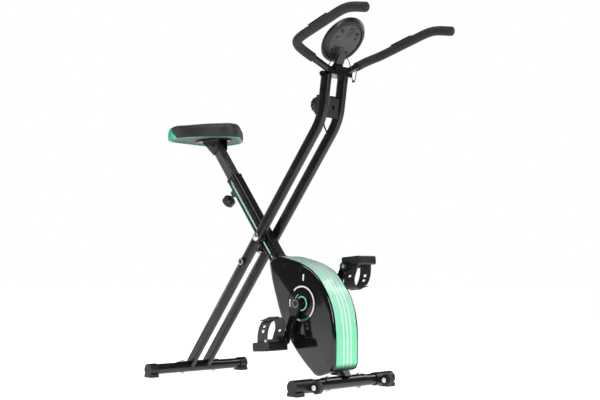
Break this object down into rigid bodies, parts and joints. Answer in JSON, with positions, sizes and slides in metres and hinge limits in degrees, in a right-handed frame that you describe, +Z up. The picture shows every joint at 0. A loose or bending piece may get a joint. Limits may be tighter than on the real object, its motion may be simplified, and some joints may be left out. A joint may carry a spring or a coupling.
{
  "type": "exercise bike",
  "caption": "Folding upright exercise bike: X frame, enclosed crank drive with flywheel, strapped pedals, saddle, handlebar and console.",
  "frame": {"origin": "on the floor, under the middle of the machine's outline", "axes": "+X forwards, +Y to the rider's left, +Z up"},
  "size_m": [1.0499, 0.446, 1.154],
  "materials": {
    "frame_black": "gloss powder coat",
    "bracket_grey": "satin",
    "black_plastic": "satin",
    "gloss_black": "gloss",
    "mint": "gloss",
    "teal": "satin",
    "zinc_steel": "bright zinc",
    "flywheel_iron": "machined",
    "pulley_plastic": "satin",
    "arm_steel": "satin",
    "belt_rubber": "matte",
    "strap_rubber": "matte",
    "wheel_rubber": "matte",
    "foam": "matte foam",
    "cushion_vinyl": "soft matte vinyl",
    "sensor_chrome": "polished",
    "button_grey": "satin"
  },
  "bodies": {
    "front_frame": {"seat_tube": "frame_black", "seat_collar": "black_plastic", "lock_arm": "frame_black", "front_stabiliser": "frame_black", "front_cap_right": "black_plastic", "front_cap_left": "black_plastic", "front_saddle": "frame_black", "front_bolts": "zinc_steel", "casing_right": "gloss_black", "casing_left": "gloss_black", "casing_band": "mint", "casing_screws": "black_plastic", "pivot_bolt": "zinc_steel", "pivot_bushes": "zinc_steel", "drive_belt": "belt_rubber", "speed_sensor": "black_plastic"},
    "crank": {"crank_axle": "zinc_steel", "drive_pulley": "pulley_plastic", "crank_arm_right": "frame_black", "crank_arm_left": "frame_black", "pedal_spindles": "zinc_steel"},
    "pedal_right": {"pedal_right": "black_plastic", "strap_right": "strap_rubber"},
    "pedal_left": {"pedal_left": "black_plastic", "strap_left": "strap_rubber"},
    "flywheel": {"flywheel": "flywheel_iron", "flywheel_axle": "zinc_steel"},
    "brake_arm": {"brake_arm": "arm_steel", "brake_magnets": "zinc_steel"},
    "seat": {"seat_post": "arm_steel", "seat_bracket": "frame_black", "seat_base": "teal", "seat_cushion": "cushion_vinyl"},
    "height_knob": {"height_knob": "black_plastic"},
    "rear_frame": {"twin_tube_right": "frame_black", "twin_tube_left": "frame_black", "bend_plate": "frame_black", "cross_bracket": "bracket_grey", "bar_clamp": "frame_black", "clamp_cap": "frame_black", "rear_stabiliser": "frame_black", "rear_cap_right": "black_plastic", "rear_cap_left": "black_plastic", "rear_saddle": "frame_black", "rear_bolts": "zinc_steel", "tension_unit": "black_plastic", "tension_cable": "belt_rubber", "sensor_lead": "belt_rubber", "pulse_lead": "belt_rubber", "handlebar": "frame_black", "grip_right": "foam", "grip_left": "foam", "pulse_sensors": "sensor_chrome", "console_case": "black_plastic", "console_bracket": "frame_black"},
    "tension_knob": {"tension_knob": "black_plastic"},
    "lock_pin": {"lock_pin": "black_plastic"},
    "wheel_right": {"wheel_right": "wheel_rubber"},
    "wheel_left": {"wheel_left": "wheel_rubber"},
    "console_button": {"console_button": "button_grey"}
  },
  "joints": [
    {"name": "fold", "type": "hinge", "parent": "front_frame", "child": "rear_frame", "pos_m": [-0.10321, 0, 0.4844], "axis": [0, -1, 0], "range_deg": [0, 45], "deforming": ["tension_cable", "sensor_lead"]},
    {"name": "flywheel_spin", "type": "hinge", "parent": "front_frame", "child": "flywheel", "pos_m": [0.16228, 0, 0.16363], "axis": [0, 1, 0], "continuous": true},
    {"name": "crank_spin", "type": "hinge", "parent": "front_frame", "child": "crank", "pos_m": [0.12527, 0, 0.26804], "axis": [0, 1, 0], "continuous": true},
    {"name": "pedal_right_spin", "type": "hinge", "parent": "crank", "child": "pedal_right", "pos_m": [0.06931, 0, 0.15071], "axis": [0, 1, 0], "continuous": true},
    {"name": "pedal_left_spin", "type": "hinge", "parent": "crank", "child": "pedal_left", "pos_m": [0.18124, 0, 0.38538], "axis": [0, 1, 0], "continuous": true},
    {"name": "seat_height", "type": "slide", "parent": "front_frame", "child": "seat", "axis": [-0.617, 0, 0.7869], "range_m": [-0.08, 0.04]},
    {"name": "height_knob_pull", "type": "slide", "parent": "front_frame", "child": "height_knob", "axis": [-0.7869, 0, -0.617], "range_m": [0, 0.01], "stiffness_N_per_m": 600, "springref_m": -0.006},
    {"name": "lock_pin_pull", "type": "slide", "parent": "rear_frame", "child": "lock_pin", "axis": [0, -1, 0], "range_m": [0, 0.012], "stiffness_N_per_m": 600, "springref_m": -0.006},
    {"name": "tension_turn", "type": "hinge", "parent": "rear_frame", "child": "tension_knob", "pos_m": [0.15277, 0, 0.90122], "axis": [-0.9885, 0, 0.1513], "range_deg": [0, 300]},
    {"name": "brake_swing", "type": "hinge", "parent": "front_frame", "child": "brake_arm", "pos_m": [0.08028, 0, 0.16763], "axis": [0, -1, 0], "range_deg": [0, 6]},
    {"name": "wheel_right_roll", "type": "hinge", "parent": "front_frame", "child": "wheel_right", "pos_m": [0.28864, -0.158, 0.026], "axis": [0, 1, 0], "continuous": true},
    {"name": "wheel_left_roll", "type": "hinge", "parent": "front_frame", "child": "wheel_left", "pos_m": [0.28864, 0.158, 0.026], "axis": [0, 1, 0], "continuous": true},
    {"name": "console_button_press", "type": "slide", "parent": "rear_frame", "child": "console_button", "axis": [0.7373, 0, -0.6756], "range_m": [0, 0.0015], "stiffness_N_per_m": 400, "springref_m": -0.001}
  ],
  "couplings": [
    {"joint": "crank_spin", "follows": "flywheel_spin", "ratio": 0.1875},
    {"joint": "brake_swing", "follows": "tension_turn", "ratio": 0.02}
  ]
}
